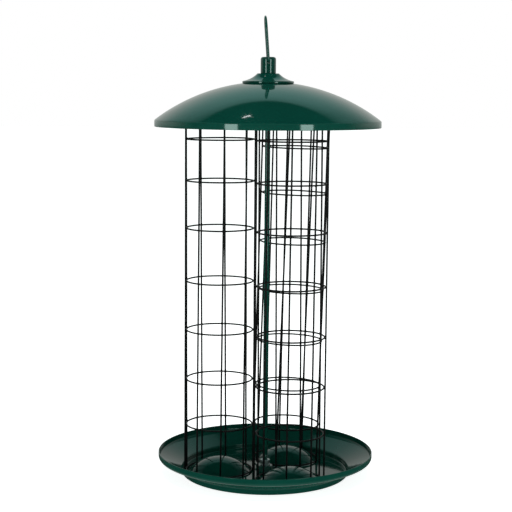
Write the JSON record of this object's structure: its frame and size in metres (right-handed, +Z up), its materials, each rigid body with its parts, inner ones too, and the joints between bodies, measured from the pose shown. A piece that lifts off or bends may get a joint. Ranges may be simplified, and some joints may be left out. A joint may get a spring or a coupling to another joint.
{
  "type": "hanging bird feeder",
  "caption": "Hanging suet-ball feeder: three wire mesh tubes stand in a dished tray on a centre rod, under a domed roof held by a top nut with a wire hanging loop.",
  "frame": {"origin": "on the axis of the centre rod, in the plane that the tray stands on", "axes": "+Z up along the centre rod; -X from the rod to the left tube; +Y away from the usual viewer; the hanging loop swings about an axis parallel to Y"},
  "size_m": [0.25, 0.25, 0.511],
  "materials": {
    "roof_enamel": "gloss enamel, dark green",
    "tray_enamel": "gloss enamel, dark green",
    "rod_enamel": "gloss enamel, dark green",
    "fitting_enamel": "gloss enamel, dark green",
    "coated_wire": "satin black powder coat",
    "zinc_plate": "bright zinc plate"
  },
  "bodies": {
    "root": {"tray": "tray_enamel", "centre_rod": "rod_enamel", "base_nut": "zinc_plate", "base_washer": "zinc_plate", "tray_washer": "zinc_plate", "tray_nut": "zinc_plate", "stop_nut": "zinc_plate", "stop_washer": "zinc_plate"},
    "canopy": {"roof": "roof_enamel", "roof_collar": "roof_enamel"},
    "top_nut": {"top_nut": "fitting_enamel"},
    "loop": {"hanging_loop": "fitting_enamel"},
    "left_tube": {"left_tube_uprights": "coated_wire", "left_tube_rings": "coated_wire", "left_tube_end_rings": "coated_wire"},
    "front_tube": {"front_tube_uprights": "coated_wire", "front_tube_rings": "coated_wire", "front_tube_end_rings": "coated_wire"},
    "rear_tube": {"rear_tube_uprights": "coated_wire", "rear_tube_rings": "coated_wire", "rear_tube_end_rings": "coated_wire"}
  },
  "joints": [
    {"name": "canopy_lift", "type": "slide", "parent": "root", "child": "canopy", "axis": [0, 0, 1], "range_m": [0, 0.12]},
    {"name": "top_nut_turn", "type": "hinge", "parent": "canopy", "child": "top_nut", "pos_m": [0, 0, 0.45732], "axis": [0, 0, 1], "continuous": true},
    {"name": "loop_swing", "type": "hinge", "parent": "top_nut", "child": "loop", "pos_m": [0, 0, 0.46052], "axis": [0, 1, 0], "range_deg": [-105, 114]},
    {"name": "left_tube_lift", "type": "slide", "parent": "root", "child": "left_tube", "axis": [0, 0, 1], "range_m": [0, 0.002]},
    {"name": "front_tube_lift", "type": "slide", "parent": "root", "child": "front_tube", "axis": [0, 0, 1], "range_m": [0, 0.002]},
    {"name": "rear_tube_lift", "type": "slide", "parent": "root", "child": "rear_tube", "axis": [0, 0, 1], "range_m": [0, 0.002]}
  ]
}
